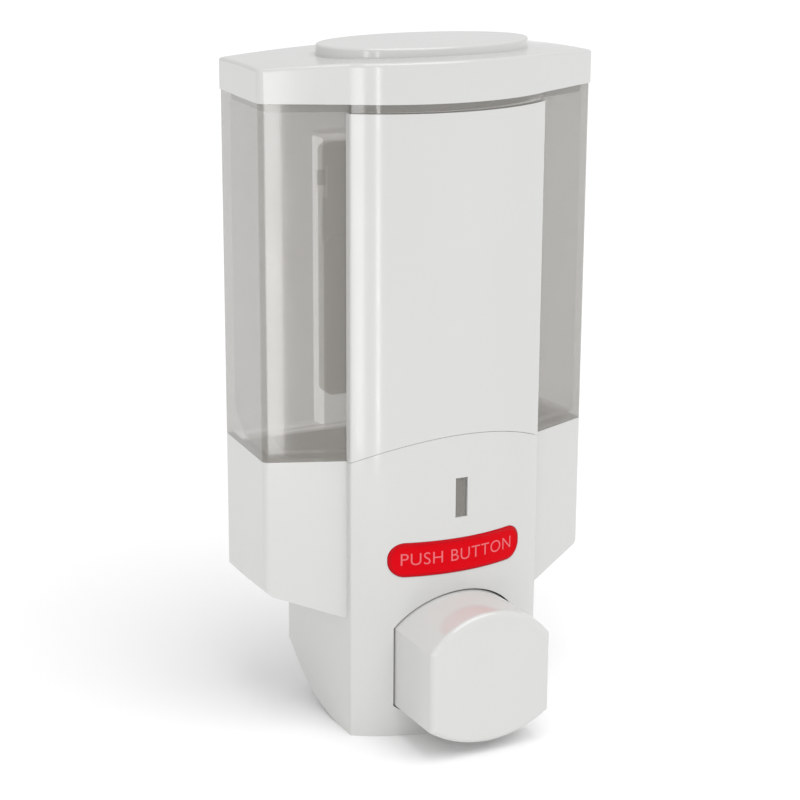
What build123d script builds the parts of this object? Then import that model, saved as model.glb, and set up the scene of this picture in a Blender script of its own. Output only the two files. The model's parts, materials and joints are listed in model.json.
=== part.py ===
"""Wall mounted soap dispenser: a clear tank with a white front panel, lid and pump casing.

Millimetres. X is across, -Y is the front, +Z is up, and the wall is the plane Y = 0.
Heights in this file are measured from the underside of the casing. save() moves each piece
down so that the written parts have their origin at the middle of the wall bracket's back.
"""

import os
from math import cos, sin, sqrt

from build123d import *

# Heights above the underside of the casing
CASING_TOP = 81.6
ARCH_TOP = 88.5  # crown of the seam between casing and front panel
PANEL_TOP = 178.2
TANK_TOP = 180.7
LID_BOTTOM = 180.75
LID_APEX = 192.6
LID_DOME_R = 500.0
LID_SKIRT, LID_SKIRT_SKIN = 2.6, 1.4  # the inner skirt's reach into the tank, and its wall
LID_OVERHANG, LID_EDGE_ROUND = 0.4, 1.0
PAD_TOP, PAD_Y, PAD_ROUND = 194.8, -27.0, 0.9
PAD_X, PAD_DEPTH = 31.5, 18.0  # half sizes of the raised oval
BRACKET_LOW, BRACKET_HIGH = 90.0, 164.0
ORIGIN_HEIGHT = (BRACKET_LOW + BRACKET_HIGH) / 2

# Plan of the body
WALL_GAP = 0.3  # the body clears the wall by this much
BACK_X = 49.0
SIDE_X, SIDE_Y = 51.3, -31.8  # the rounded corner between the two side facets
SIDE_ROUND = 2.0
EDGE_ROUND = 0.8  # on the outer edges of the panel and of the casing's column
COLUMN_X = 30.0  # half width of the white front column
FRONT_AXIS_Y = 0.2  # centre of the front's curve
FRONT_R = 52.5
SKIN = 2.0
CLOSE = 0.05  # gap between pieces that lie against each other
TANK_FRONT_R = FRONT_R - SKIN - CLOSE

# Tank: (x, y) points of its funnel's plan run forwards along the right side
TANK_FLOOR = CASING_TOP + SKIN
RAMP_TOP, RAMP_LEDGE, RAMP_FOOT = 89.5, -2.3, -12.0
FUNNEL_SKIN = 1.8
FUNNEL_LOW, FUNNEL_HIGH = 55.0, CASING_TOP + 1
FUNNEL_LOW_PLAN = [(15.0, -10.5), (18.0, -26.0), (10.0, -47.0)]
FUNNEL_HIGH_PLAN = [(42.0, -10.5), (47.0, -30.2), (27.0, -38.6)]
FUNNEL_FRONT_R = TANK_FRONT_R - 0.5
LEDGE_R = FRONT_R - 0.6  # ledge at the tank's rim, over the top of the front panel
WINDOW_RECESS, WINDOW_GAP = 0.7, 0.15  # clear window that fills the sight slot

# Lower casing
BELLY_SLOPE = 0.36
BELLY_AT_COLUMN = 35.0
BELLY_ROUND = 3.5
NOSE_FLAT_END = -37.0
NOSE_CURVE_R = 52.0
NOSE_BACK_Y = -2.0
NOSE_FLOOR = 1.6
OUTLET_GAP_X = 20.0
OUTLET_GAP_FRONT, OUTLET_GAP_BACK = -46.0, -12.0
SIGHT_SLOT_W, SIGHT_SLOT_LOW, SIGHT_SLOT_HIGH = 3.8, 64.4, 76.0
SEAM = 0.12

# Label
LABEL_W, LABEL_H, LABEL_MID = 42.0, 10.0, 53.3
LABEL_CORNER = 4.6
LABEL_PROUD, LABEL_SUNK = 0.25, 0.45

# Push button and pump
PUMP_Z = 22.6
BUTTON_X = 18.85
BUTTON_FLAT_LOW, BUTTON_FLAT_HIGH = 9.5, 32.8
BUTTON_LOW, BUTTON_HIGH = 3.5, 42.2
BUTTON_FRONT = -70.9
BUTTON_END = -44.2
BUTTON_SKIN = 1.9
BUTTON_ROUND = 1.4
BUTTON_GAP = 0.45
EAR_X, EAR_FRONT, EAR_LOW, EAR_HIGH = 20.5, -45.85, 12.0, 20.0
SOCKET_R, SOCKET_FRONT, SOCKET_BACK = 6.0, -66.6, -58.0  # socket for the rod in the button
ROD_R, ROD_FRONT = 3.5, -66.5
BORE_R = 6.5
CYLINDER_R = 8.5
CYLINDER_FRONT, CYLINDER_BACK = -42.0, -13.0
CHAMBER_BACK = -15.0
CAP_R, CAP_FRONT, CAP_SPIGOT = 12.0, -43.5, 2.5
PORT_Y = -19.0
PISTON_FRONT, PISTON_BACK = -38.5, -32.0
SEAL_PLACES = (0.28, 0.72)  # shares of the piston head's length
SEAL_R, SEAL_WIRE_R, GROOVE_R, GROOVE_HALF = 5.8, 0.64, 5.1, 0.8
RUNNING_FIT = 0.08
RETURN_TURNS, RETURN_R, RETURN_WIRE = 7, 8.2, 1.1
VALVE_TURNS, VALVE_R, VALVE_WIRE, VALVE_LENGTH = 4, 1.9, 0.4, 4.4

# Neck, valves and nozzle, all on the vertical axis through PORT_Y
TOWER_R, TOWER_TOP, FLANGE_R, FLANGE_T = 6.8, 43.0, 9.4, 2.0
CAGE_FLOOR, CAGE_R, CAGE_HOLE_R, CAGE_HOLE_RING = 31.0, 4.0, 0.9, 2.9
SEAT_LOW, SEAT_HIGH, SEAT_R, SEAT_HOLE = 37.75, 40.0, 4.95, 2.2
INLET_BALL_R, OUTLET_BALL_R = 3.0, 2.4
GASKET_T = 1.5
NECK_LOW, NECK_BORE = 44.5, 6.5
OUTLET_SEAT, OUTLET_SEAT_HOLE = 14.5, 1.6
NOZZLE_TIP, NOZZLE_FLANGE_LOW, NOZZLE_FLANGE_HIGH = 2.0, 7.2, 9.0
NOZZLE_BORE, NOZZLE_LEDGE, NOZZLE_SPIGOT_R = 2.9, 6.2, 4.2
NOZZLE_TIP_R, NOZZLE_ROOT_R, NOZZLE_HOLE_R = 2.9, 4.0, 1.8
OUTLET_BOSS_R = 6.2
NUT_R, NUT_LOW, NUT_HIGH, NUT_RIB_R, NUT_RIBS = 11.2, 39.4, 50.0, 0.6, 24

# Wall bracket and the pocket it sits in
BRACKET_X, BRACKET_T, BRACKET_CORNER = 19.5, 3.0, 2.5
FRAME_FRONT, FRAME_TOP, FRAME_W = -4.6, 137.0, 2.0  # raised frame round its lower part
SCREW_SPACING = 50.0
SCREW_HOLE_R, SCREW_HEAD_R = 2.25, 4.4
HOOK_X = 14.5
HOOK_LOW, HOOK_FLOOR, HOOK_HIGH = 148.5, 152.3, 158.0
HOOK_SLOT, HOOK_LIP = 2.4, 1.4
POCKET_X, POCKET_DEPTH, POCKET_LOW, POCKET_HIGH = 21.3, 7.6, 79.5, 166.0
POCKET_SKIN = 1.8
LUG_X, LUG_TOP, LUG_T = 15.5, 156.5, 2.0  # lugs in the pocket that hang on the hooks

# Screws: thread-forming screws in plain pilot holes
SCREW_R, SCREW_SINK_R, PILOT_R = 1.45, 2.9, 1.5
CROSS_L, CROSS_W, CROSS_DEPTH = 3.2, 0.7, 0.9
COVER_SCREWS = [(41.0, 47.5), (23.0, 19.5)]
COVER_SCREW_L = 10.5
PUMP_SCREW_X, PUMP_SCREW_Z, PUMP_SCREW_L = 24.0, 28.0, 14.0
EAR_HALF, EAR_THICK = 27.2, 2.0  # the pump's two fixing ears
BOSS_R, WEB_HALF, WEB_DROP = 3.2, 0.8, 9.0
PUMP_BOSS_FRONT, COVER_BOSS_FRONT = -48.0, -13.0

os.makedirs("parts", exist_ok=True)


def save(name, solid):
    export_step(Pos(0, 0, -ORIGIN_HEIGHT) * solid, f"parts/{name}.step")


# Shape helpers

ON_BASE = (Align.CENTER, Align.CENTER, Align.MIN)


def block(x, y, z):
    """Box between the two limits given for each axis."""
    sizes = [high - low for low, high in (x, y, z)]
    middle = [(low + high) / 2 for low, high in (x, y, z)]
    return Pos(*middle) * Box(*sizes)


def along_y(face, y0, y1):
    """Prism of an XZ outline from y0 back to y1."""
    return extrude(Plane.XZ.offset(-y1) * face, amount=y1 - y0)


def along_x(face, half):
    return extrude(Plane.YZ * face, amount=half, both=True)


def rod_y(radius, y0, y1, x=0.0, z=PUMP_Z):
    return along_y(Pos(x, z) * Circle(radius), y0, y1)


def rod_z(radius, z0, z1, x=0.0, y=PORT_Y):
    return extrude(Pos(x, y, z0) * Circle(radius), amount=z1 - z0)


def cone_z(low_r, high_r, z0, z1):
    return Pos(0, PORT_Y, z0) * Cone(low_r, high_r, z1 - z0, align=ON_BASE)


def both_sides(solid):
    return solid + mirror(solid, about=Plane.YZ)


def front_y(radius, x):
    """Y of the front's curve at x, for a given radius."""
    return FRONT_AXIS_Y - sqrt(radius**2 - x**2)


def closed_outline(right_points, front_radius):
    """Symmetrical plan outline: straight sides through right_points, then a round front."""
    front = (0, FRONT_AXIS_Y - front_radius)
    right = [Vector(*p) for p in right_points]
    left = [Vector(-p.X, p.Y) for p in right]
    edges = [ThreePointArc(right[-1], front, left[-1]), Line(left[0], right[0])]
    for side in (right, left):
        edges += [Line(a, b) for a, b in zip(side, side[1:])]
    return make_face(edges)


def body_plan(front_radius):
    """Plan of the whole body: flat back, two facets on each side and a round front."""
    end = (COLUMN_X, front_y(front_radius, COLUMN_X))
    face = closed_outline([(BACK_X, -WALL_GAP), (SIDE_X, SIDE_Y), end], front_radius)
    corners = [v for v in face.vertices() if abs(abs(v.X) - SIDE_X) < 0.01]
    return fillet(corners, SIDE_ROUND)


def inset(face, amount):
    return offset(face, amount=-amount, kind=Kind.INTERSECTION)


def extruded(face, z0, z1):
    return extrude(Pos(0, 0, z0) * face, amount=z1 - z0)


def arch(grow):
    """Everything below the arched seam on the front, raised by grow."""
    rise = ARCH_TOP - CASING_TOP
    radius = (COLUMN_X**2 + rise**2) / (2 * rise)
    return rod_y(radius + grow, -60, 5, z=ARCH_TOP - radius)


# Wall bracket


def bracket_hook():
    plate = -BRACKET_T
    lip = plate - HOOK_SLOT
    base = block((HOOK_X, BRACKET_X), (lip - HOOK_LIP, plate + 0.5), (HOOK_LOW, HOOK_FLOOR))
    tongue = block((HOOK_X, BRACKET_X), (lip - HOOK_LIP, lip), (HOOK_LOW, HOOK_HIGH))
    return both_sides(base + tongue)


def wall_screw_hole(z):
    shank = rod_y(SCREW_HOLE_R, -BRACKET_T - 1, 1, z=z)
    sink_depth = SCREW_HEAD_R - SCREW_HOLE_R
    sink = Cone(SCREW_HOLE_R, SCREW_HEAD_R, sink_depth)
    return shank + Pos(0, -BRACKET_T + sink_depth / 2, z) * Rot(90, 0, 0) * sink


def wall_bracket():
    """Plate screwed to the wall, with a raised frame below and two upturned hooks above."""
    plate = block((-BRACKET_X, BRACKET_X), (-BRACKET_T, 0), (BRACKET_LOW, BRACKET_HIGH))
    plate = fillet(plate.edges().filter_by(Axis.Y), BRACKET_CORNER)
    across, up = (-BRACKET_X, BRACKET_X), (BRACKET_LOW, FRAME_TOP)
    frame = block(across, (FRAME_FRONT, -BRACKET_T + 0.5), up)
    frame = fillet(frame.edges().filter_by(Axis.Y), BRACKET_CORNER)
    narrower, lower = ((low + FRAME_W, high - FRAME_W) for low, high in (across, up))
    well = block(narrower, (FRAME_FRONT - 1, -BRACKET_T), lower)
    solid = plate + (frame - well) + bracket_hook()
    for side in (-1, 1):
        solid -= wall_screw_hole(ORIGIN_HEIGHT + side * SCREW_SPACING / 2)
    return solid


# Tank


def funnel_section(z, points, shrink):
    """One closed outline of the funnel under the tank, at height z."""
    outline = inset(closed_outline(points, FUNNEL_FRONT_R), shrink)
    return (Pos(0, 0, z) * outline).faces()[0]


def funnel(shrink, z0, z1):
    low = funnel_section(z0, FUNNEL_LOW_PLAN, shrink)
    return loft([low, funnel_section(z1, FUNNEL_HIGH_PLAN, shrink)], ruled=True)


def tank_inside():
    """Everything hollow in the tank, from its open top to its neck."""
    ramp_points = [(0, RAMP_TOP), (RAMP_LEDGE, RAMP_TOP), (RAMP_FOOT, TANK_FLOOR - 1)]
    ramp = Polygon((0, TANK_FLOOR - 1), *ramp_points, align=None)
    inside = extruded(inset(body_plan(TANK_FRONT_R), SKIN), TANK_FLOOR, TANK_TOP + 5)
    inside -= along_x(ramp, 60)
    inside -= pocket(POCKET_SKIN, TANK_FLOOR - 1)
    inside += funnel(FUNNEL_SKIN, FUNNEL_LOW + FUNNEL_SKIN, TANK_FLOOR + 0.1)
    return inside + rod_z(NECK_BORE, NECK_LOW - 1, FUNNEL_LOW + 3)


def pocket(grow, low):
    """Recess in the tank's back for the wall bracket, from a given height up."""
    half = POCKET_X + grow
    return block((-half, half), (-POCKET_DEPTH - grow, 1), (low, POCKET_HIGH + grow))


def hanging_lugs():
    front = -BRACKET_T - HOOK_SLOT + 0.2
    depth, height = (front, front + LUG_T), (HOOK_FLOOR + CLOSE, LUG_TOP)
    return both_sides(block((LUG_X, POCKET_X + 1), depth, height))


def rim_ledge():
    """Ledge at the tank's rim that covers the top of the front panel."""
    low = PANEL_TOP + 2 * CLOSE
    ledge = extruded(Pos(0, FRONT_AXIS_Y) * Circle(LEDGE_R), low, TANK_TOP)
    return ledge & block((-COLUMN_X + 0.6, COLUMN_X - 0.6), (-60, -38), (low, TANK_TOP))


def sight_window():
    """Tab on the funnel's front that fills the casing's sight slot."""
    half = SIGHT_SLOT_W / 2 - WINDOW_GAP
    face = front_y(FRONT_R - WINDOW_RECESS, 0)
    height = (SIGHT_SLOT_LOW + WINDOW_GAP, SIGHT_SLOT_HIGH - WINDOW_GAP)
    return block((-half, half), (face, face + 3.0), height)


def tank():
    """Clear tank, open at the top, with a funnel floor, a neck and a pocket for the bracket."""
    outside = extruded(body_plan(TANK_FRONT_R), CASING_TOP + CLOSE, TANK_TOP)
    outside += funnel(0, FUNNEL_LOW, FUNNEL_HIGH)
    outside += rod_z(FLANGE_R, NECK_LOW, FUNNEL_LOW + 2)
    outside += rim_ledge() + sight_window()
    return outside - tank_inside() - pocket(0, POCKET_LOW) + hanging_lugs()


# White outer pieces


def front_panel():
    """Curved white panel over the front of the tank, arched at its lower edge."""
    sector = Circle(FRONT_R) - Circle(FRONT_R - SKIN)
    sector = Pos(0, FRONT_AXIS_Y) * sector & Pos(0, -45) * Rectangle(2 * COLUMN_X, 30)
    panel = extruded(sector, CASING_TOP, PANEL_TOP)
    panel -= arch(SEAM)
    outer = [e for e in panel.edges().filter_by(Axis.Z) if e.center().Y < -42.0]
    return fillet(outer, EDGE_ROUND)


def belly(grow):
    """Everything above the sloping underside of the wide part, with its rounded corners."""
    side = SIDE_X - grow
    low = BELLY_AT_COLUMN + grow
    high = low + BELLY_SLOPE * (side - COLUMN_X)
    right = [(0, low), (COLUMN_X, low), (side, high), (side, 120), (0, 120)]
    left = [(-x, z) for x, z in reversed(right[1:4])]
    profile = Polygon(*right, *left, align=None)
    corners = [v for v in profile.vertices() if abs(v.Y - high) < 0.01]
    return along_y(fillet(corners, BELLY_ROUND), -60, 5)


def nose_region(grow):
    """Everything above the underside of the nose, which curves up towards the wall."""
    angle = (NOSE_BACK_Y - NOSE_FLAT_END) / NOSE_CURVE_R
    rise = NOSE_CURVE_R - sqrt(NOSE_CURVE_R**2 - (NOSE_BACK_Y - NOSE_FLAT_END) ** 2)
    middle_y = NOSE_FLAT_END + NOSE_CURVE_R * sin(angle / 2)
    middle_z = NOSE_CURVE_R * (1 - cos(angle / 2))
    start, end = (NOSE_FLAT_END, grow), (NOSE_BACK_Y, rise + grow)
    curve = ThreePointArc(start, (middle_y, middle_z + grow), end)
    rest = Polyline(end, (1, rise + 2.2 + grow), (1, 120), (-60, 120), (-60, grow), start)
    return along_x(make_face([curve, *rest.edges()]), 60)


def wide_part(grow, top):
    plan = body_plan(TANK_FRONT_R)
    if grow:
        plan = inset(plan, grow)
        plan += Rectangle(2 * (BACK_X - grow), 20)
    return extruded(plan, 30, top) & belly(grow)


def column(grow, floor, top):
    disc = Pos(0, FRONT_AXIS_Y) * Circle(FRONT_R - grow)
    back = 1 if grow else -WALL_GAP
    strip = Pos(0, back - 30) * Rectangle(2 * (COLUMN_X - grow), 60)
    plan = disc & strip
    if not grow:
        plan = fillet([v for v in plan.vertices() if v.Y < SIDE_Y], EDGE_ROUND)
    return extruded(plan, -1, top) & nose_region(floor)


def barrel(grow=0.0):
    """Outline of the push button: two flats, and a shallow arc above and below."""
    low, high = (BUTTON_X, BUTTON_FLAT_LOW), (BUTTON_X, BUTTON_FLAT_HIGH)
    left_low, left_high = (-BUTTON_X, BUTTON_FLAT_LOW), (-BUTTON_X, BUTTON_FLAT_HIGH)
    edges = [
        ThreePointArc(high, (0, BUTTON_HIGH), left_high),
        Line(left_high, left_low),
        ThreePointArc(left_low, (0, BUTTON_LOW), low),
        Line(low, high),
    ]
    face = make_face(edges)
    return offset(face, amount=grow, kind=Kind.INTERSECTION) if grow else face


def screw_boss(x, z, y0, y1, rib_end):
    """Boss for a screw, with a web to the casing's wall at rib_end."""
    web = block((x, rib_end), (y0, y1), (z - WEB_HALF, z + WEB_HALF))
    foot = block((x - WEB_HALF, x + WEB_HALF), (y0, y1), (z - WEB_DROP, z))
    return rod_y(BOSS_R, y0, y1, x, z) + web + foot


def casing_bosses():
    """Bosses for the back cover's screws and for the pump's screws."""
    back = CHAMBER_BACK - EAR_THICK - CLOSE
    bosses = screw_boss(PUMP_SCREW_X, PUMP_SCREW_Z, PUMP_BOSS_FRONT, back, COLUMN_X - 1)
    bosses -= block((0, 40), (-50, -10), (15, PUMP_SCREW_Z - BOSS_R))
    for x, z in COVER_SCREWS:
        bosses += screw_boss(x, z, COVER_BOSS_FRONT, -SKIN - WALL_GAP - CLOSE, x + 10)
    return both_sides(bosses)


def pilot_holes():
    holes = rod_y(PILOT_R, -30, -16, PUMP_SCREW_X, PUMP_SCREW_Z)
    for x, z in COVER_SCREWS:
        holes += rod_y(PILOT_R, -11.5, 0, x, z)
    return both_sides(holes)


def pill(grow=0.0):
    shape = RectangleRounded(LABEL_W + 2 * grow, LABEL_H + 2 * grow, LABEL_CORNER + grow)
    return Pos(0, LABEL_MID) * shape


def ring_band(outer, inner):
    """Curved slab that follows the front, used for the label and its recess."""
    return extruded(Pos(0, FRONT_AXIS_Y) * (Circle(outer) - Circle(inner)), 40, 70)


def lower_casing():
    """White pump casing: faceted body, front column and nose, open at the back and top."""
    outer = wide_part(0, CASING_TOP) + (column(0, 0, ARCH_TOP + 1) & arch(0))
    inner = wide_part(SKIN, CASING_TOP + 1) + column(SKIN, NOSE_FLOOR, CASING_TOP + 1)
    above = Pos(0, FRONT_AXIS_Y) * Circle(FRONT_R - SKIN)
    inner += extruded(above, CASING_TOP, ARCH_TOP + 5)
    shell = outer - inner + (casing_bosses() & outer)
    shell -= pilot_holes()
    shell -= along_y(barrel(BUTTON_GAP), -60, -40)
    slot = Rectangle(SIGHT_SLOT_W, SIGHT_SLOT_HIGH - SIGHT_SLOT_LOW)
    shell -= along_y(Pos(0, (SIGHT_SLOT_LOW + SIGHT_SLOT_HIGH) / 2) * slot, -60, -40)
    gap = (OUTLET_GAP_FRONT, OUTLET_GAP_BACK)
    shell -= block((-OUTLET_GAP_X, OUTLET_GAP_X), gap, (-5, 12))
    recess = along_y(pill(0.1), -60, -40) & ring_band(FRONT_R + 1, FRONT_R - LABEL_SUNK)
    return shell - recess


def back_cover():
    """Plate that closes the back of the casing, flush with the body's back."""
    gap = SKIN + 0.15
    shape = wide_part(gap, POCKET_LOW - 0.5) + column(gap, NOSE_FLOOR + 0.15, CASING_TOP)
    cover = shape & block((-60, 60), (-SKIN - WALL_GAP, -WALL_GAP), (0, POCKET_LOW - 0.5))
    for x, z in COVER_SCREWS:
        for side in (-1, 1):
            cover -= screw(side * x, z, -WALL_GAP, COVER_SCREW_L + 1, 0.1)
    return cover


def screw(x, z, head_y, length, grow=0.0):
    """Countersunk screw along -Y, its head flush with head_y. grow makes its clearance hole."""
    depth = SCREW_SINK_R - SCREW_R
    cone = Cone(SCREW_R + grow, SCREW_SINK_R + grow, depth)
    head = Pos(x, head_y - depth / 2, z) * Rot(-90, 0, 0) * cone
    solid = head + rod_y(SCREW_R + grow, head_y - length, head_y - depth / 2, x, z)
    if grow:
        return solid
    for width, height in ((CROSS_L, CROSS_W), (CROSS_W, CROSS_L)):
        arm = Pos(x, z) * Rectangle(width, height)
        solid -= along_y(arm, head_y - CROSS_DEPTH, head_y + 1)
    return solid


def cover_screws():
    places = [(side * x, z) for x, z in COVER_SCREWS for side in (-1, 1)]
    return Compound([screw(x, z, -WALL_GAP, COVER_SCREW_L).solid() for x, z in places])


def label_plate():
    """Red pill-shaped label, curved with the front and set into a shallow recess."""
    band = ring_band(FRONT_R + LABEL_PROUD, FRONT_R - LABEL_SUNK + CLOSE)
    return along_y(pill(), -60, -40) & band


def lid_dome(lower):
    """Ball whose top is the lid's shallow dome, lowered by the given amount."""
    return Pos(0, -26, LID_APEX - LID_DOME_R) * Sphere(LID_DOME_R - lower)


def lid():
    """Domed lid with a raised oval pad, hollow below, with a skirt inside the tank's rim."""
    plan = offset(body_plan(FRONT_R), amount=LID_OVERHANG, kind=Kind.INTERSECTION)
    plan &= Pos(0, -50 - WALL_GAP) * Rectangle(120, 100)
    outer = extruded(plan, LID_BOTTOM, LID_APEX + 3) & lid_dome(0)
    rim = [e for e in outer.edges() if e.center().Z > LID_BOTTOM + 7]
    outer = fillet([e for e in rim if abs(e.tangent_at(0.5).Z) < 0.2], LID_EDGE_ROUND)
    hollow = extruded(inset(plan, SKIN), LID_BOTTOM - 1, LID_APEX) & lid_dome(SKIN)
    mouth = inset(body_plan(TANK_FRONT_R), SKIN + 0.3)
    skirt = extruded(mouth - inset(mouth, LID_SKIRT_SKIN), TANK_TOP - LID_SKIRT, LID_APEX)
    pad = extruded(Pos(0, PAD_Y) * Ellipse(PAD_X, PAD_DEPTH), LID_APEX - 3, PAD_TOP)
    pad = fillet(pad.edges().sort_by(Axis.Z)[-1:], PAD_ROUND)
    return outer - hollow + (skirt & lid_dome(1.0)) + (pad - lid_dome(SKIN))


# Button and piston


def push_button():
    """Hollow barrel-shaped button with ears that stop it behind the casing's front."""
    outer = along_y(barrel(), BUTTON_FRONT, BUTTON_END)
    outer = fillet(outer.edges().group_by(Axis.Y)[0], BUTTON_ROUND)
    hollow = along_y(barrel(-BUTTON_SKIN), BUTTON_FRONT + BUTTON_SKIN, BUTTON_END + 1)
    socket = rod_y(SOCKET_R, BUTTON_FRONT + 1, SOCKET_BACK)
    socket -= rod_y(ROD_R + CLOSE, SOCKET_FRONT, SOCKET_BACK + 1)
    ear = block((BUTTON_X - 0.5, EAR_X), (EAR_FRONT, BUTTON_END), (EAR_LOW, EAR_HIGH))
    return outer - hollow + socket + both_sides(ear)


def plunger():
    """Piston rod with a two-groove piston head."""
    solid = rod_y(ROD_R, ROD_FRONT, PISTON_FRONT + 1)
    solid += rod_y(BORE_R - RUNNING_FIT, PISTON_FRONT, PISTON_BACK)
    for middle in seal_places():
        groove = rod_y(BORE_R, middle - GROOVE_HALF, middle + GROOVE_HALF)
        solid -= groove - rod_y(GROOVE_R, PISTON_FRONT, PISTON_BACK)
    return solid


def seal_places():
    length = PISTON_BACK - PISTON_FRONT
    return [PISTON_FRONT + length * share for share in SEAL_PLACES]


def piston_seals():
    ring = Rot(90, 0, 0) * Torus(SEAL_R, SEAL_WIRE_R)
    return Compound([(Pos(0, y, PUMP_Z) * ring).solid() for y in seal_places()])


def coil(length, turns, radius, wire):
    """Helical spring standing on Z = 0."""
    path = Helix(pitch=(length - wire) / turns, height=length - wire, radius=radius)
    profile = Plane(origin=path @ 0, z_dir=path % 0) * Circle(wire / 2)
    return Pos(0, 0, wire / 2) * sweep(profile, path=path)


def return_spring():
    """Spring between the cylinder's cap and the inside of the button."""
    start = BUTTON_FRONT + BUTTON_SKIN
    length = CAP_FRONT - start - 2 * CLOSE
    spring = coil(length, RETURN_TURNS, RETURN_R, RETURN_WIRE)
    return Pos(0, CAP_FRONT - CLOSE, PUMP_Z) * Rot(90, 0, 0) * spring


# Pump


def pump_cylinder():
    """Cylinder with its inlet tower, outlet boss and fixing ears in one moulding."""
    body = rod_y(CYLINDER_R, CYLINDER_FRONT, CYLINDER_BACK)
    body += rod_z(TOWER_R, PUMP_Z, TOWER_TOP) + rod_z(FLANGE_R, TOWER_TOP - FLANGE_T, TOWER_TOP)
    body += rod_z(OUTLET_BOSS_R, NOZZLE_FLANGE_HIGH, PUMP_Z)
    ears = (PUMP_SCREW_Z - 6, PUMP_SCREW_Z + 6)
    body += block((-EAR_HALF, EAR_HALF), (CHAMBER_BACK - EAR_THICK, CHAMBER_BACK), ears)
    body -= rod_y(BORE_R, CYLINDER_FRONT - 1, CHAMBER_BACK)
    body -= rod_z(CAGE_R, CAGE_FLOOR, SEAT_LOW)
    body -= rod_z(SEAT_R + CLOSE, SEAT_LOW - CLOSE, TOWER_TOP + 1)
    for spot in PolarLocations(CAGE_HOLE_RING, 4):
        hole = Cylinder(CAGE_HOLE_R, SEAT_LOW - PUMP_Z, align=ON_BASE)
        body -= Pos(0, PORT_Y, PUMP_Z) * spot * hole
    body -= rod_z(NOZZLE_SPIGOT_R + CLOSE, NOZZLE_FLANGE_HIGH - 1, OUTLET_SEAT)
    body -= rod_z(OUTLET_SEAT_HOLE, OUTLET_SEAT - 1, PUMP_Z)
    for side in (-1, 1):
        body -= rod_y(SCREW_R + 0.15, -18, -14, side * PUMP_SCREW_X, PUMP_SCREW_Z)
    return body


def cylinder_cap():
    """Front cap that guides the rod and seats the return spring."""
    cap = rod_y(CAP_R, CAP_FRONT, CYLINDER_FRONT - CLOSE)
    cap += rod_y(BORE_R - 0.02, CYLINDER_FRONT - 1, CYLINDER_FRONT + CAP_SPIGOT)
    return cap - rod_y(ROD_R + RUNNING_FIT, -50, -30)


def pump_screws():
    head = CHAMBER_BACK + SCREW_SINK_R - SCREW_R + 0.15
    places = [side * PUMP_SCREW_X for side in (-1, 1)]
    return Compound([screw(x, PUMP_SCREW_Z, head, PUMP_SCREW_L).solid() for x in places])


def inlet_valve_seat():
    return rod_z(SEAT_R, SEAT_LOW, SEAT_HIGH) - rod_z(SEAT_HOLE, SEAT_LOW - 1, SEAT_HIGH + 1)


def inlet_valve_ball():
    return Pos(0, PORT_Y, CAGE_FLOOR + INLET_BALL_R + CLOSE) * Sphere(INLET_BALL_R)


def outlet_ball_height():
    reach = sqrt(OUTLET_BALL_R**2 - OUTLET_SEAT_HOLE**2)
    return OUTLET_SEAT - reach - CLOSE


def outlet_valve_ball():
    return Pos(0, PORT_Y, outlet_ball_height()) * Sphere(OUTLET_BALL_R)


def outlet_valve_spring():
    spring = coil(VALVE_LENGTH, VALVE_TURNS, VALVE_R, VALVE_WIRE)
    return Pos(0, PORT_Y, NOZZLE_LEDGE + CLOSE) * spring


def outlet_nozzle():
    """Nozzle below the pump, which also holds the outlet valve's ball and spring."""
    body = rod_z(NOZZLE_SPIGOT_R, NOZZLE_FLANGE_HIGH - 1, OUTLET_SEAT - 0.5)
    body += rod_z(OUTLET_BOSS_R, NOZZLE_FLANGE_LOW, NOZZLE_FLANGE_HIGH - CLOSE)
    body += cone_z(NOZZLE_TIP_R, NOZZLE_ROOT_R, NOZZLE_TIP, NOZZLE_FLANGE_LOW)
    body -= rod_z(NOZZLE_BORE, NOZZLE_LEDGE, OUTLET_SEAT)
    return body - rod_z(NOZZLE_HOLE_R, NOZZLE_TIP - 1, NOZZLE_LEDGE + 1)


def neck_gasket():
    low, high = TOWER_TOP + CLOSE, TOWER_TOP + GASKET_T - CLOSE
    return rod_z(FLANGE_R - 0.5, low, high) - rod_z(NECK_BORE + 0.2, low - 1, high + 1)


def collar_nut():
    """Ribbed nut that pulls the pump's flange up against the tank's neck."""
    nut = rod_z(NUT_R, NUT_LOW, NUT_HIGH)
    for spot in PolarLocations(NUT_R, NUT_RIBS):
        rib = Cylinder(NUT_RIB_R, NUT_HIGH - NUT_LOW - 1, align=ON_BASE)
        nut += Pos(0, PORT_Y, NUT_LOW + 1) * spot * rib
    nut -= rod_z(FLANGE_R + CLOSE, TOWER_TOP - FLANGE_T - CLOSE, NUT_HIGH + 1)
    return nut - rod_z(TOWER_R + 0.2, NUT_LOW - 1, NUT_HIGH)


PIECES = [
    wall_bracket,
    tank,
    front_panel,
    lower_casing,
    back_cover,
    cover_screws,
    label_plate,
    lid,
    push_button,
    plunger,
    piston_seals,
    return_spring,
    pump_cylinder,
    cylinder_cap,
    pump_screws,
    inlet_valve_seat,
    inlet_valve_ball,
    outlet_valve_ball,
    outlet_valve_spring,
    outlet_nozzle,
    neck_gasket,
    collar_nut,
]

for piece in PIECES:
    save(piece.__name__, piece())
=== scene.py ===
"""Looks of the wall mounted soap dispenser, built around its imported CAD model. Metres."""

import json
import math

import bmesh
import bpy
from mathutils import Matrix, Vector
from mathutils.bvhtree import BVHTree

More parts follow.
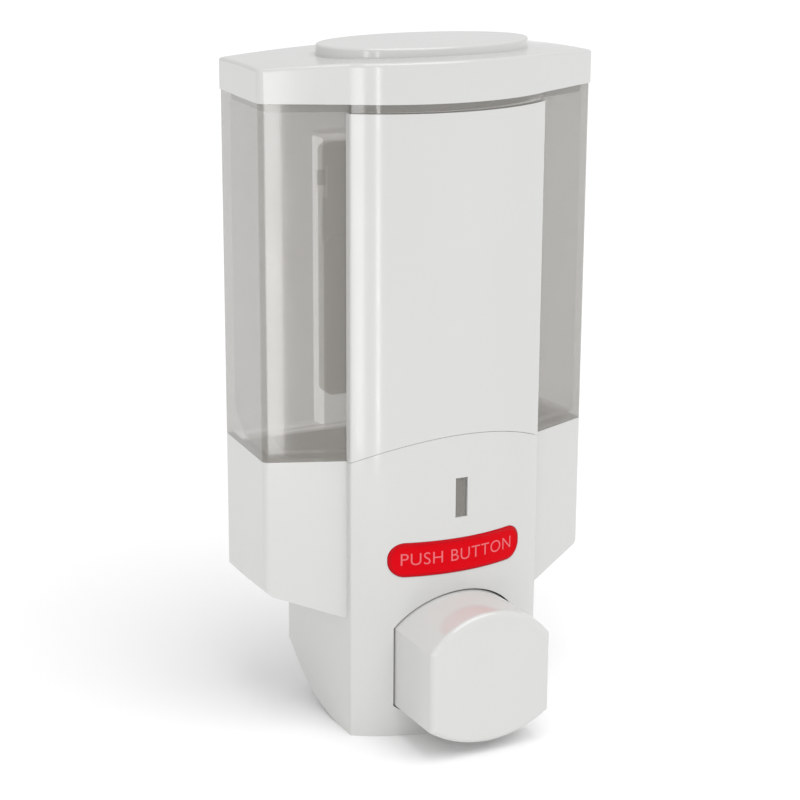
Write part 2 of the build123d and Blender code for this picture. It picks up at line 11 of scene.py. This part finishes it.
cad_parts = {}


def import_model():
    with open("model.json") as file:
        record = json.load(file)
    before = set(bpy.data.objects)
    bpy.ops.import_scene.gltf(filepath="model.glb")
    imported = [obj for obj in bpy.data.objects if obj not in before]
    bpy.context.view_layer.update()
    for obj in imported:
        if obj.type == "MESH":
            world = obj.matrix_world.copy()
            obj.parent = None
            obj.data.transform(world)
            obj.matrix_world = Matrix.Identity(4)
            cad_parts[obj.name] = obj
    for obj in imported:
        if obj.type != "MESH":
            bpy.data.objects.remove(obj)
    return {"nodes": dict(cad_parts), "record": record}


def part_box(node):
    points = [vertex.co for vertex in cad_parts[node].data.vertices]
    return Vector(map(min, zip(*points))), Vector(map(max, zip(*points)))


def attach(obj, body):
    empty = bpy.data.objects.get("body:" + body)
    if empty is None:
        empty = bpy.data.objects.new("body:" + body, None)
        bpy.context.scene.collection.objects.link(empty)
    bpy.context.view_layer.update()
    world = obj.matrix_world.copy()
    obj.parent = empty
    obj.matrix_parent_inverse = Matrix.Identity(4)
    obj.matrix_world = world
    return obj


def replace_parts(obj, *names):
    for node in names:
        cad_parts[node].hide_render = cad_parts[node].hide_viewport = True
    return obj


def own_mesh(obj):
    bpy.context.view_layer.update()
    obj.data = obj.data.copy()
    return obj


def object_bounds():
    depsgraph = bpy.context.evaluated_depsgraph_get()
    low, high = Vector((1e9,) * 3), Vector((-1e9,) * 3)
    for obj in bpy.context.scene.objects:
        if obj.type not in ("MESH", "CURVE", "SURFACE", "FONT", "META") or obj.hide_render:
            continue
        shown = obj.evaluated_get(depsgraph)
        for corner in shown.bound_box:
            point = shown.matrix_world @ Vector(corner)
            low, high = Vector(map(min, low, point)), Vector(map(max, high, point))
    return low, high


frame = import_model()
NODES = frame["nodes"]
cad_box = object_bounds()

MM = 0.001
CAMERA_PLACE = Vector((-0.2751, -0.5492, 0.1341))
CAMERA_YAW, CAMERA_PITCH, CAMERA_ROLL = 27.214, -15.989, 0.297
CAMERA_LENS, CAMERA_SENSOR = 96.27, 36.0

FRONT_AXIS_Y = 0.2 * MM  # centre of the round front, in plan
FLOOR_SIZE = 12.0
DAYLIGHT = 0.75  # brightness of the even white surroundings

# Lamps: two upright strips to the left, level with the middle of the body
LAMP_HEIGHT = 0.09  # above the floor
LAMP_AIM = (-0.03, -0.04)
STRIP_PLACE, STRIP_WIDTH, STRIP_POWER = (-0.185, -0.245), 0.028, 0.038
LINE_PLACE, LINE_WIDTH, LINE_POWER = (-0.135, -0.268), 0.009, 0.022
LAMP_LENGTH = 0.17
SUN_AZIMUTH, SUN_ELEVATION, SUN_ANGLE, SUN_STRENGTH = 14, 64, 50, 1.35


# Materials

NOISE_RANGE = (0.3, 0.7)  # where nearly all of a noise pattern's values lie


def material(name):
    """An empty node material and its Principled shader."""
    made = bpy.data.materials.new(name)
    made.use_nodes = True
    return made, made.node_tree, made.node_tree.nodes["Principled BSDF"]


def coordinates(tree):
    return tree.nodes.new("ShaderNodeTexCoord").outputs["Object"]


def noise(tree, scale, detail=3.0, stretch=None):
    """Noise in the piece's own coordinates, where scale is patterns per metre."""
    node = tree.nodes.new("ShaderNodeTexNoise")
    node.inputs["Scale"].default_value = scale
    node.inputs["Detail"].default_value = detail
    source = coordinates(tree)
    if stretch:
        mapping = tree.nodes.new("ShaderNodeMapping")
        mapping.inputs["Scale"].default_value = stretch
        tree.links.new(source, mapping.inputs["Vector"])
        source = mapping.outputs["Vector"]
    tree.links.new(source, node.inputs["Vector"])
    return node.outputs["Fac"]


def ramp_values(tree, source, low, high):
    node = tree.nodes.new("ShaderNodeMapRange")
    node.inputs["From Min"].default_value = NOISE_RANGE[0]
    node.inputs["From Max"].default_value = NOISE_RANGE[1]
    node.inputs["To Min"].default_value = low
    node.inputs["To Max"].default_value = high
    tree.links.new(source, node.inputs["Value"])
    return node.outputs["Result"]


def ramp_colours(tree, source, dark, light):
    node = tree.nodes.new("ShaderNodeValToRGB")
    stops = node.color_ramp.elements
    for stop, position, colour in zip(stops, NOISE_RANGE, (dark, light)):
        stop.position = position
        stop.color = (*colour, 1)
    tree.links.new(source, node.inputs["Fac"])
    return node.outputs["Color"]


def bump(tree, shader, source, depth):
    """Relief of about depth metres."""
    node = tree.nodes.new("ShaderNodeBump")
    node.inputs["Strength"].default_value = 1.0
    node.inputs["Distance"].default_value = depth
    tree.links.new(source, node.inputs["Height"])
    tree.links.new(node.outputs["Normal"], shader.inputs["Normal"])


def moulded_plastic(name, dark, light, rough=(0.1, 0.14), skin=(240.0, 2e-6), specular=0.5):
    """Moulded plastic: faint flow marks in its colour, and a skin of (waves a metre, depth)."""
    made, tree, shader = material(name)
    flow = noise(tree, 30.0, 3.0, stretch=(1.0, 1.0, 0.3))
    tree.links.new(ramp_colours(tree, flow, dark, light), shader.inputs["Base Color"])
    wave = noise(tree, skin[0], 1.0)
    tree.links.new(ramp_values(tree, wave, *rough), shader.inputs["Roughness"])
    bump(tree, shader, wave, skin[1])
    shader.inputs["IOR"].default_value = 1.5
    shader.inputs["Specular IOR Level"].default_value = specular
    return made


def clear_glass(name, tint, ior):
    """Clear glass with a faint tint and waviness."""
    made, tree, shader = material(name)
    wave = noise(tree, 28.0, 2.0, stretch=(1.0, 1.0, 0.25))
    colours = ramp_colours(tree, wave, tint, tuple(min(1.0, c + 0.02) for c in tint))
    tree.links.new(colours, shader.inputs["Base Color"])
    skin = noise(tree, 300.0, 2.0)
    tree.links.new(ramp_values(tree, skin, 0.03, 0.07), shader.inputs["Roughness"])
    bump(tree, shader, wave, 1e-5)
    shader.inputs["IOR"].default_value = ior
    shader.inputs["Transmission Weight"].default_value = 1.0
    return made


def smoky_plastic(name, dark, light, alpha):
    """See-through plastic with a milky grey haze and a glossy skin, for the thin-walled tank."""
    made = moulded_plastic(name, dark, light, (0.06, 0.1), (28.0, 1e-5), specular=1.0)
    shader = made.node_tree.nodes["Principled BSDF"]
    shader.inputs["Alpha"].default_value = alpha
    shader.inputs["Coat Weight"].default_value = 1.0
    shader.inputs["Coat Roughness"].default_value = 0.03
    return made


def metal(name, colour, rough):
    made, tree, shader = material(name)
    streaks = noise(tree, 900.0, 6.0, stretch=(1.0, 0.1, 1.0))
    dark = tuple(0.8 * c for c in colour)
    tree.links.new(ramp_colours(tree, streaks, dark, colour), shader.inputs["Base Color"])
    tree.links.new(ramp_values(tree, streaks, *rough), shader.inputs["Roughness"])
    bump(tree, shader, streaks, 4e-6)
    shader.inputs["Metallic"].default_value = 1.0
    return made


WHITE = moulded_plastic("white_abs", (0.61, 0.61, 0.598), (0.625, 0.625, 0.615), specular=0.8)
# The bracket is the same white plastic, painted lighter: painted light for the shade it sits in
# behind the tank.
BRACKET_PAINTED_LIGHT = moulded_plastic("bracket_white_painted_light", (0.8, 0.79, 0.76), (0.83, 0.82, 0.79), (0.3, 0.4))
MILKY = moulded_plastic("natural_pp", (0.6, 0.61, 0.6), (0.68, 0.69, 0.68), (0.4, 0.55))
RUBBER = moulded_plastic("black_rubber", (0.02, 0.02, 0.02), (0.05, 0.05, 0.05), (0.6, 0.8))
RED = moulded_plastic("red_label", (0.64, 0.003, 0.008), (0.68, 0.004, 0.01), specular=0.02)
# Darker red for the label's rounded edge and border: painted shade where the edge turns away from
# the light.
RED_PAINTED_EDGE_SHADE = moulded_plastic("red_label_painted_edge_shade", (0.5, 0.002, 0.008), (0.56, 0.003, 0.01), specular=0.08)
PINK = moulded_plastic("label_print", (0.74, 0.16, 0.18), (0.8, 0.2, 0.22), specular=0.02)
CLEAR = smoky_plastic("clear_san", (0.285, 0.268, 0.238), (0.305, 0.288, 0.258), 0.58)
CLEAR_INSIDE = smoky_plastic("clear_san_inside", (0.4, 0.385, 0.36), (0.42, 0.405, 0.38), 0.12)
GLASS = clear_glass("valve_glass", (0.93, 0.97, 0.97), 1.5)
WIRE = metal("spring_steel", (0.62, 0.62, 0.63), (0.2, 0.35))
ZINC = metal("screw_steel", (0.68, 0.68, 0.66), (0.3, 0.45))
FINISHES = {
    "white_abs": WHITE,
    "natural_pp": MILKY,
    "black_rubber": RUBBER,
    "red_label": RED,
    "clear_san": CLEAR,
    "valve_glass": GLASS,
    "spring_steel": WIRE,
    "screw_steel": ZINC,
}


def paint(piece, finish):
    piece.data.materials.clear()
    piece.data.materials.append(finish)
    for face in piece.data.polygons:
        face.material_index = 0


def paint_cad_nodes():
    for entry in frame["record"]["subparts"]:
        paint(NODES[entry["node"]], FINISHES[entry["material_slot"]])
    # The bracket takes its lighter copy of the white, which is painted light.
    paint(NODES["wall_bracket"], BRACKET_PAINTED_LIGHT)


def clear_tank_inside():
    """Less haze on the tank's inner faces than on its outer skin."""
    mesh = NODES["tank"].data
    mesh.materials.append(CLEAR_INSIDE)
    tree = BVHTree.FromPolygons([v.co for v in mesh.vertices], [f.vertices for f in mesh.polygons])
    for face in mesh.polygons:
        start = face.center + face.normal * 0.1 * MM
        if tree.ray_cast(start, face.normal)[0] is not None:
            face.material_index = 1


# Pieces


def new_piece(name, mesh, body, slot, *finishes):
    """A finished mesh as a piece that rides on a body and takes the given materials."""
    piece = bpy.data.objects.new(name, mesh)
    bpy.context.scene.collection.objects.link(piece)
    for finish in finishes:
        mesh.materials.append(finish)
    for face in mesh.polygons:
        face.use_smooth = True
    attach(piece, body)
    return piece


def on_front(x, z, radius):
    """Point on the round front, or on a cylinder just outside it."""
    return Vector((x, FRONT_AXIS_Y - math.sqrt(radius**2 - x**2), z))


# Red label


LABEL_CORNER = 4.6 * MM
LABEL_RIM = 0.3 * MM  # radius of its rounded edge
LABEL_BORDER = 0.75 * MM
LABEL_STEP = 0.05 * MM  # the face lies this much below its border
LABEL_LOW, LABEL_HIGH = (Vector(corner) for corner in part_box("label_plate"))
LABEL_R = FRONT_AXIS_Y - LABEL_LOW.y
LABEL_MID = (LABEL_LOW.z + LABEL_HIGH.z) / 2


def label_half_outline(inset, corner_steps=14, side_steps=32):
    """Upper half of the label's outline from its right end to its left, moved in by inset."""
    corner = LABEL_CORNER - inset
    half_x = LABEL_HIGH.x - inset
    half_z = (LABEL_HIGH.z - LABEL_LOW.z) / 2 - inset
    flat_x, flat_z = half_x - corner, half_z - corner
    points = [(half_x, 0.0)]
    for step in range(corner_steps + 1):
        angle = math.pi / 2 * step / corner_steps
        points.append((flat_x + corner * math.cos(angle), flat_z + corner * math.sin(angle)))
    for step in range(1, side_steps):
        points.append((flat_x - 2 * flat_x * step / side_steps, half_z))
    for step in range(corner_steps + 1):
        angle = math.pi / 2 * (1 + step / corner_steps)
        points.append((-flat_x + corner * math.cos(angle), flat_z + corner * math.sin(angle)))
    return points + [(-half_x, 0.0)]


def label_ring(form, inset, proud):
    """Both halves of one outline as vertices; the two end points are shared."""
    upper = label_half_outline(inset)
    radius = LABEL_R - LABEL_RIM + proud
    top = [form.verts.new(on_front(x, LABEL_MID + z, radius)) for x, z in upper]
    low = [form.verts.new(on_front(x, LABEL_MID - z, radius)) for x, z in upper[1:-1]]
    return top, [top[0], *low, top[-1]]


def label_profile():
    """Inset and height of each ring: down in the recess, round the edge, then a flat border."""
    rings = [(0.05 * MM, -0.3 * MM), (0.0, 0.0)]
    for step in range(1, 7):
        angle = math.pi / 2 * step / 6
        rings.append((LABEL_RIM * (1 - math.cos(angle)), LABEL_RIM * math.sin(angle)))
    face = LABEL_RIM - LABEL_STEP
    rings += [(LABEL_BORDER, LABEL_RIM), (LABEL_BORDER + 0.12 * MM, face)]
    return rings + [(2.5 * MM, face), (4.3 * MM, face)]


def red_label():
    """Curved pill with a rounded edge; its edge and the border round its face are a darker red,
    which is painted shade.
    """
    form = bmesh.new()
    rings = [label_ring(form, inset, proud) for inset, proud in label_profile()]
    # Rings out to the border take the darker red: painted shade over the rounded edge.
    border = len(rings) - 3
    for index, (outer, inner) in enumerate(zip(rings, rings[1:])):
        for half, turn in ((0, 1), (1, -1)):
            for a, b, c, d in zip(outer[half], outer[half][1:], inner[half][1:], inner[half]):
                face = form.faces.new((a, b, c, d)[::turn])
                face.material_index = int(index < border)
    top, low = rings[-1]
    for index in range(len(top) - 1):
        corners = dict.fromkeys((top[index], top[index + 1], low[index + 1], low[index]))
        form.faces.new(list(corners))
    first = rings[0][0] + rings[0][1][-2:0:-1]
    form.faces.new(first[::-1])
    mesh = bpy.data.meshes.new("red_label")
    bmesh.ops.recalc_face_normals(form, faces=form.faces)
    form.to_mesh(mesh)
    form.free()
    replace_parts(new_piece("red_label", mesh, "housing", "red_label", RED, RED_PAINTED_EDGE_SHADE), "label_plate")


def label_lettering():
    """Generic instruction printed across the label, a hair above its face."""
    words = bpy.data.curves.new("label_words", "FONT")
    words.body = "PUSH BUTTON"
    words.align_x, words.align_y = "CENTER", "CENTER"
    words.size = 5.1 * MM
    words.space_character = 1.06
    words.offset = -0.04 * MM
    words.extrude = 0.03 * MM
    words.resolution_u = 6
    flat = bpy.data.objects.new("label_words", words)
    bpy.context.scene.collection.objects.link(flat)
    bpy.context.view_layer.update()
    mesh = bpy.data.meshes.new_from_object(flat)
    bpy.data.objects.remove(flat)
    face_r = LABEL_R - 0.02 * MM
    for vertex in mesh.vertices:
        x, z, out = vertex.co.x, vertex.co.y, vertex.co.z
        vertex.co = on_front(x, LABEL_MID + z, face_r + out)
    mesh.name = "label_lettering"
    new_piece("label_lettering", mesh, "housing", "red_label", PINK)


# Springs


def coil_heights(length, turns, wire, steps):
    """Height along a spring at each step: closed end turns and an even pitch between."""
    free = turns - 2
    rise = length - wire
    heights = []
    for step in range(steps + 1):
        turn = turns * step / steps
        closed = min(turn, 1.0) + max(turn - turns + 1.0, 0.0)
        even = min(max(turn - 1.0, 0.0), free)
        heights.append(wire / 2 + wire * 0.9 * closed + (rise - 1.8 * wire) * even / free)
    return heights


def spring(name, node, axis, turns, wire):
    """Compression spring in place of a plain CAD one, wound from its fixed end."""
    low, high = (Vector(corner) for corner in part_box(node))
    along = Vector(axis)
    middle = (low + high) / 2
    length = abs((high - low).dot(along))
    across = [high[i] - low[i] for i in range(3) if not along[i]]
    radius = (min(across) - wire) / 2
    anchor = middle + along * length / 2
    frame_x = along.orthogonal().normalized()
    frame_y = along.cross(frame_x)
    steps = int(turns * 40)
    line = bpy.data.curves.new(name, "CURVE")
    line.dimensions = "3D"
    line.bevel_depth = wire / 2
    line.bevel_resolution = 3
    line.use_fill_caps = True
    path = line.splines.new("POLY")
    path.points.add(steps)
    for step, height in enumerate(coil_heights(length, turns, wire, steps)):
        angle = 2 * math.pi * turns * step / steps
        ring = frame_x * math.cos(angle) + frame_y * math.sin(angle)
        path.points[step].co = (*(anchor - along * height + ring * radius), 1)
    wound = bpy.data.objects.new(name, line)
    bpy.context.scene.collection.objects.link(wound)
    bpy.context.view_layer.update()
    mesh = bpy.data.meshes.new_from_object(wound)
    bpy.data.objects.remove(wound)
    mesh.name = name
    mesh.materials.clear()
    piece = new_piece(name, mesh, "housing", "spring_steel", WIRE)
    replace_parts(piece, node)
    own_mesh(piece)


def springs():
    """Both springs, with the number of turns and the wire thickness of each."""
    spring("button_spring", "return_spring", (0, 1, 0), 8, 1.1 * MM)
    spring("valve_spring", "outlet_valve_spring", (0, 0, -1), 5, 0.4 * MM)


# Stage, light and camera


def floor():
    made, tree, shader = material("stage_floor")
    speckle = noise(tree, 6.0)
    shade = ramp_colours(tree, speckle, (0.94, 0.94, 0.94), (0.96, 0.96, 0.96))
    tree.links.new(shade, shader.inputs["Base Color"])
    shader.inputs["Roughness"].default_value = 0.8
    bpy.ops.mesh.primitive_plane_add(size=FLOOR_SIZE, location=(0, 0, cad_box[0][2]))
    plane = bpy.context.object
    plane.name = "floor"
    plane.data.materials.append(made)


def world(strength):
    made = bpy.data.worlds.new("studio")
    made.use_nodes = True
    back = made.node_tree.nodes["Background"]
    back.inputs["Color"].default_value = (1.0, 1.0, 1.0, 1)
    back.inputs["Strength"].default_value = strength
    bpy.context.scene.world = made


def softbox(name, place, target, size, power):
    """Soft rectangular lamp that the camera doesn't see."""
    data = bpy.data.lights.new(name, "AREA")
    data.shape = "RECTANGLE"
    data.size, data.size_y = size
    data.energy = power
    lamp = bpy.data.objects.new(name, data)
    bpy.context.scene.collection.objects.link(lamp)
    lamp.location = place
    lamp.rotation_euler = (Vector(target) - Vector(place)).to_track_quat("-Z", "Y").to_euler()
    lamp.visible_camera = False


def soft_sun(name, azimuth, elevation, angle, strength):
    """Broad even light from above; azimuth is measured to the right of the front."""
    data = bpy.data.lights.new(name, "SUN")
    data.energy = strength
    data.angle = math.radians(angle)
    lamp = bpy.data.objects.new(name, data)
    bpy.context.scene.collection.objects.link(lamp)
    turn, tilt = math.radians(azimuth), math.radians(elevation)
    flat = math.cos(tilt)
    towards = Vector((math.sin(turn) * flat, -math.cos(turn) * flat, math.sin(tilt)))
    lamp.rotation_euler = towards.to_track_quat("Z", "Y").to_euler()


def lights():
    height = cad_box[0][2] + LAMP_HEIGHT
    aim = (*LAMP_AIM, height)
    soft_sun("overhead", SUN_AZIMUTH, SUN_ELEVATION, SUN_ANGLE, SUN_STRENGTH)
    softbox("strip", (*STRIP_PLACE, height), aim, (STRIP_WIDTH, LAMP_LENGTH), STRIP_POWER)
    softbox("line", (*LINE_PLACE, height), aim, (LINE_WIDTH, LAMP_LENGTH), LINE_POWER)


def camera():
    data = bpy.data.cameras.new("camera")
    data.lens = CAMERA_LENS
    data.sensor_width = CAMERA_SENSOR
    data.clip_start = 0.01
    made = bpy.data.objects.new("camera", data)
    bpy.context.scene.collection.objects.link(made)
    turn = (
        Matrix.Rotation(-math.radians(CAMERA_YAW), 4, "Z")
        @ Matrix.Rotation(math.radians(90 + CAMERA_PITCH), 4, "X")
        @ Matrix.Rotation(math.radians(CAMERA_ROLL), 4, "Z")
    )
    made.matrix_world = Matrix.Translation(CAMERA_PLACE) @ turn
    bpy.context.scene.camera = made


def view_settings():
    settings = bpy.context.scene.view_settings
    settings.view_transform = "Standard"
    settings.look = "None"


paint_cad_nodes()
clear_tank_inside()
red_label()
label_lettering()
springs()
floor()
world(DAYLIGHT)
lights()
camera()
view_settings()
